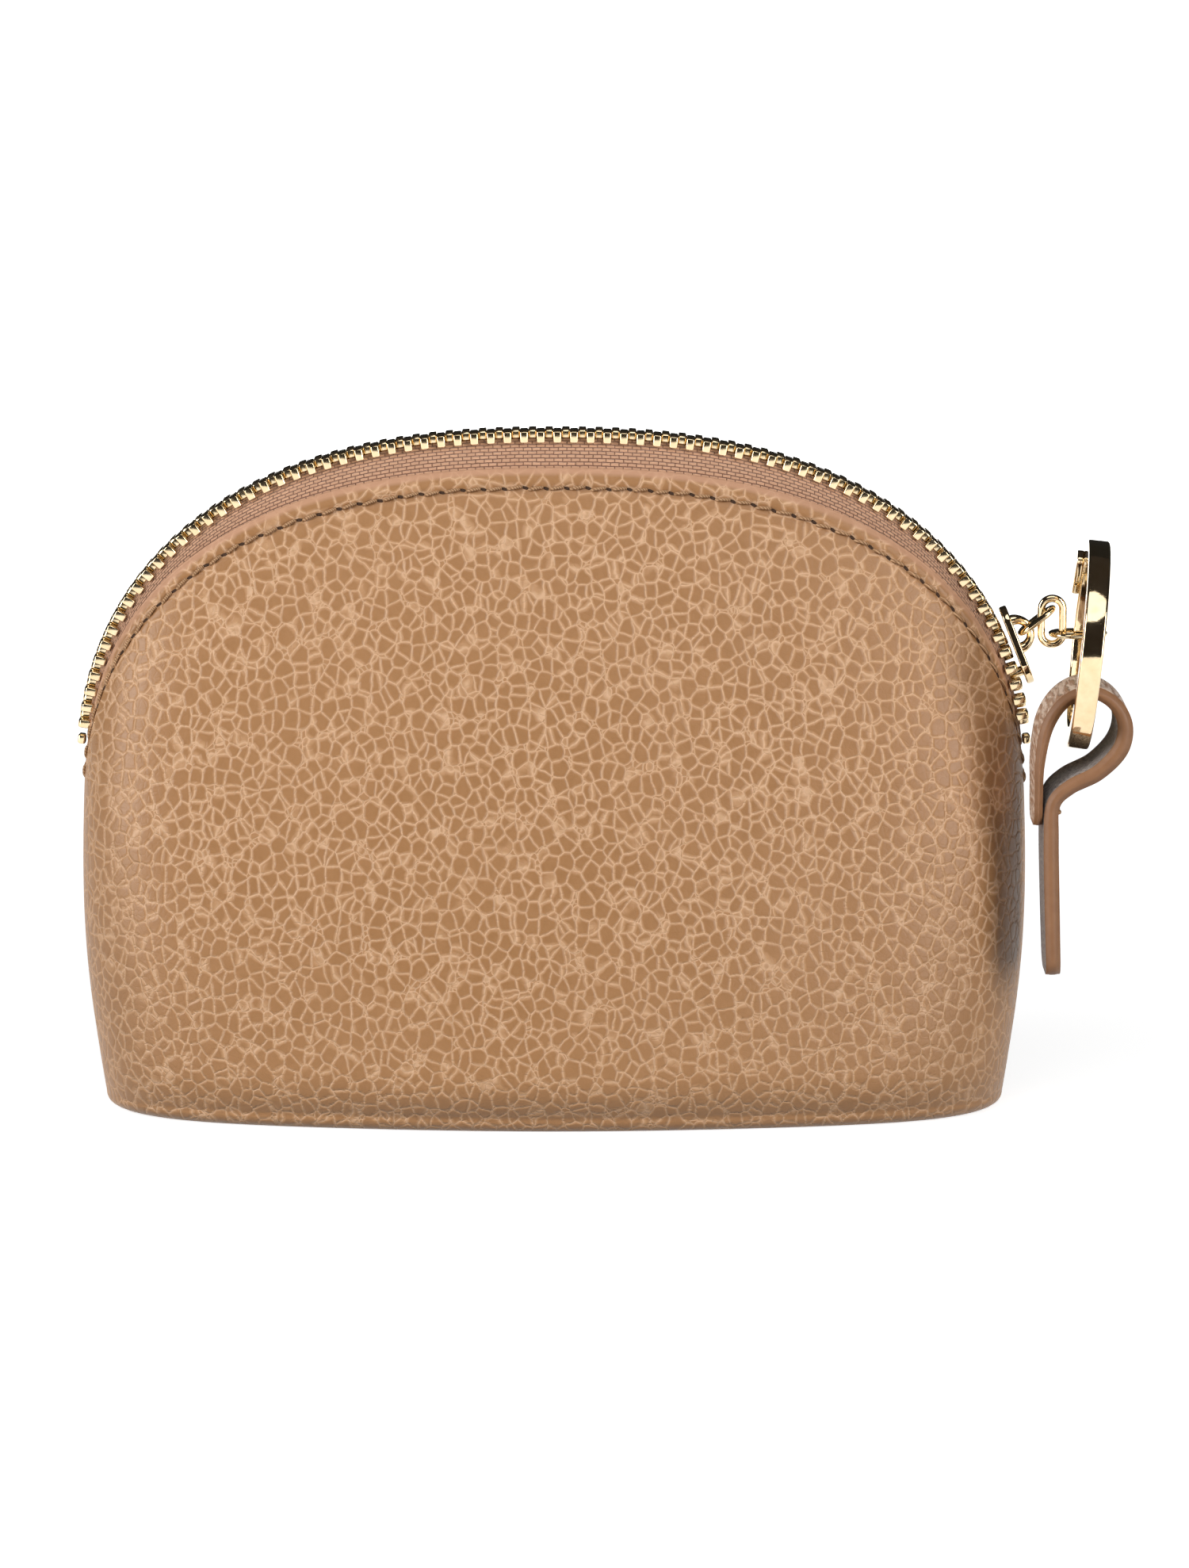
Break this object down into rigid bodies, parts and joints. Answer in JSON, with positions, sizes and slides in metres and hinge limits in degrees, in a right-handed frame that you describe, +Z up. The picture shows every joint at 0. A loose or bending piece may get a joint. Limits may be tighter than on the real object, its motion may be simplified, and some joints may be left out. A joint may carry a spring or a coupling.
{
  "type": "zippered pouch",
  "caption": "Half-moon pebbled leather pouch with a zip over the arch, a flat base, and a metal ring with a folded leather strap on the zip slider.",
  "frame": {"origin": "centre of the flat face that the pouch stands on", "axes": "+Z up, +X along the long side towards the closed end of the zip, front faces -Y"},
  "size_m": [0.1271, 0.0427, 0.0831],
  "materials": {
    "leather": "satin, pebbled grain",
    "strap_leather": "satin, fine grain",
    "lining": "matte",
    "tape": "matte, woven",
    "thread": "matte",
    "board": "matte",
    "gold": "polished"
  },
  "bodies": {
    "base": {"base_panel": "leather", "base_board": "board", "base_lining": "lining", "base_side_left": "lining", "base_side_right": "lining", "end_stop_left": "gold", "end_stop_right": "gold"},
    "front_side": {"front_panel": "leather", "front_lining": "lining", "front_tape": "tape", "front_teeth": "gold", "front_stitching": "thread"},
    "rear_side": {"rear_panel": "leather", "rear_lining": "lining", "rear_tape": "tape", "rear_teeth": "gold", "rear_stitching": "thread"},
    "slider": {"slider_body": "gold", "slider_bridge": "gold"},
    "link_1": {"link_1": "gold"},
    "link_2": {"link_2": "gold"},
    "link_3": {"link_3": "gold"},
    "ring": {"ring_hoop": "gold", "ring_plaque": "gold"},
    "strap": {"strap_leather": "strap_leather", "strap_stitching": "thread"}
  },
  "joints": [
    {"name": "slider_travel", "type": "hinge", "parent": "base", "child": "slider", "pos_m": [0, 0, 0.0125], "axis": [0, -1, 0], "range_deg": [0, 102.6], "deforming": ["front_tape", "front_teeth", "rear_tape", "rear_teeth"]},
    {"name": "front_open", "type": "hinge", "parent": "base", "child": "front_side", "pos_m": [0, -0.018, 0.002], "axis": [1, 0, 0], "range_deg": [0, 8.5]},
    {"name": "rear_open", "type": "hinge", "parent": "base", "child": "rear_side", "pos_m": [0, 0.018, 0.002], "axis": [-1, 0, 0], "range_deg": [0, 8.5]},
    {"name": "pull_swing", "type": "hinge", "parent": "slider", "child": "link_1", "pos_m": [0.05655, 0, 0.05825], "axis": [0, -1, 0], "range_deg": [0, 62.4]},
    {"name": "link_2_swing", "type": "hinge", "parent": "link_1", "child": "link_2", "pos_m": [0.06025, 0, 0.06114], "axis": [0, -1, 0], "range_deg": [0, 4]},
    {"name": "link_3_swing", "type": "hinge", "parent": "link_2", "child": "link_3", "pos_m": [0.06025, 0, 0.05804], "axis": [0, -1, 0], "range_deg": [0, 4]},
    {"name": "ring_swing", "type": "hinge", "parent": "link_3", "child": "ring", "pos_m": [0.06419, 0.00055, 0.05804], "axis": [0, -1, 0], "range_deg": [0, 16.7]},
    {"name": "strap_swing", "type": "hinge", "parent": "ring", "child": "strap", "pos_m": [0.06274, -0.01065, 0.04775], "axis": [0, -1, 0], "range_deg": [0, 133.7]}
  ],
  "couplings": [
    {"joint": "front_open", "follows": "slider_travel", "ratio": 0.08},
    {"joint": "rear_open", "follows": "slider_travel", "ratio": 0.08},
    {"joint": "pull_swing", "follows": "slider_travel", "ratio": 0.605},
    {"joint": "ring_swing", "follows": "slider_travel", "ratio": 0.16},
    {"joint": "strap_swing", "follows": "slider_travel", "ratio": 1.3}
  ]
}
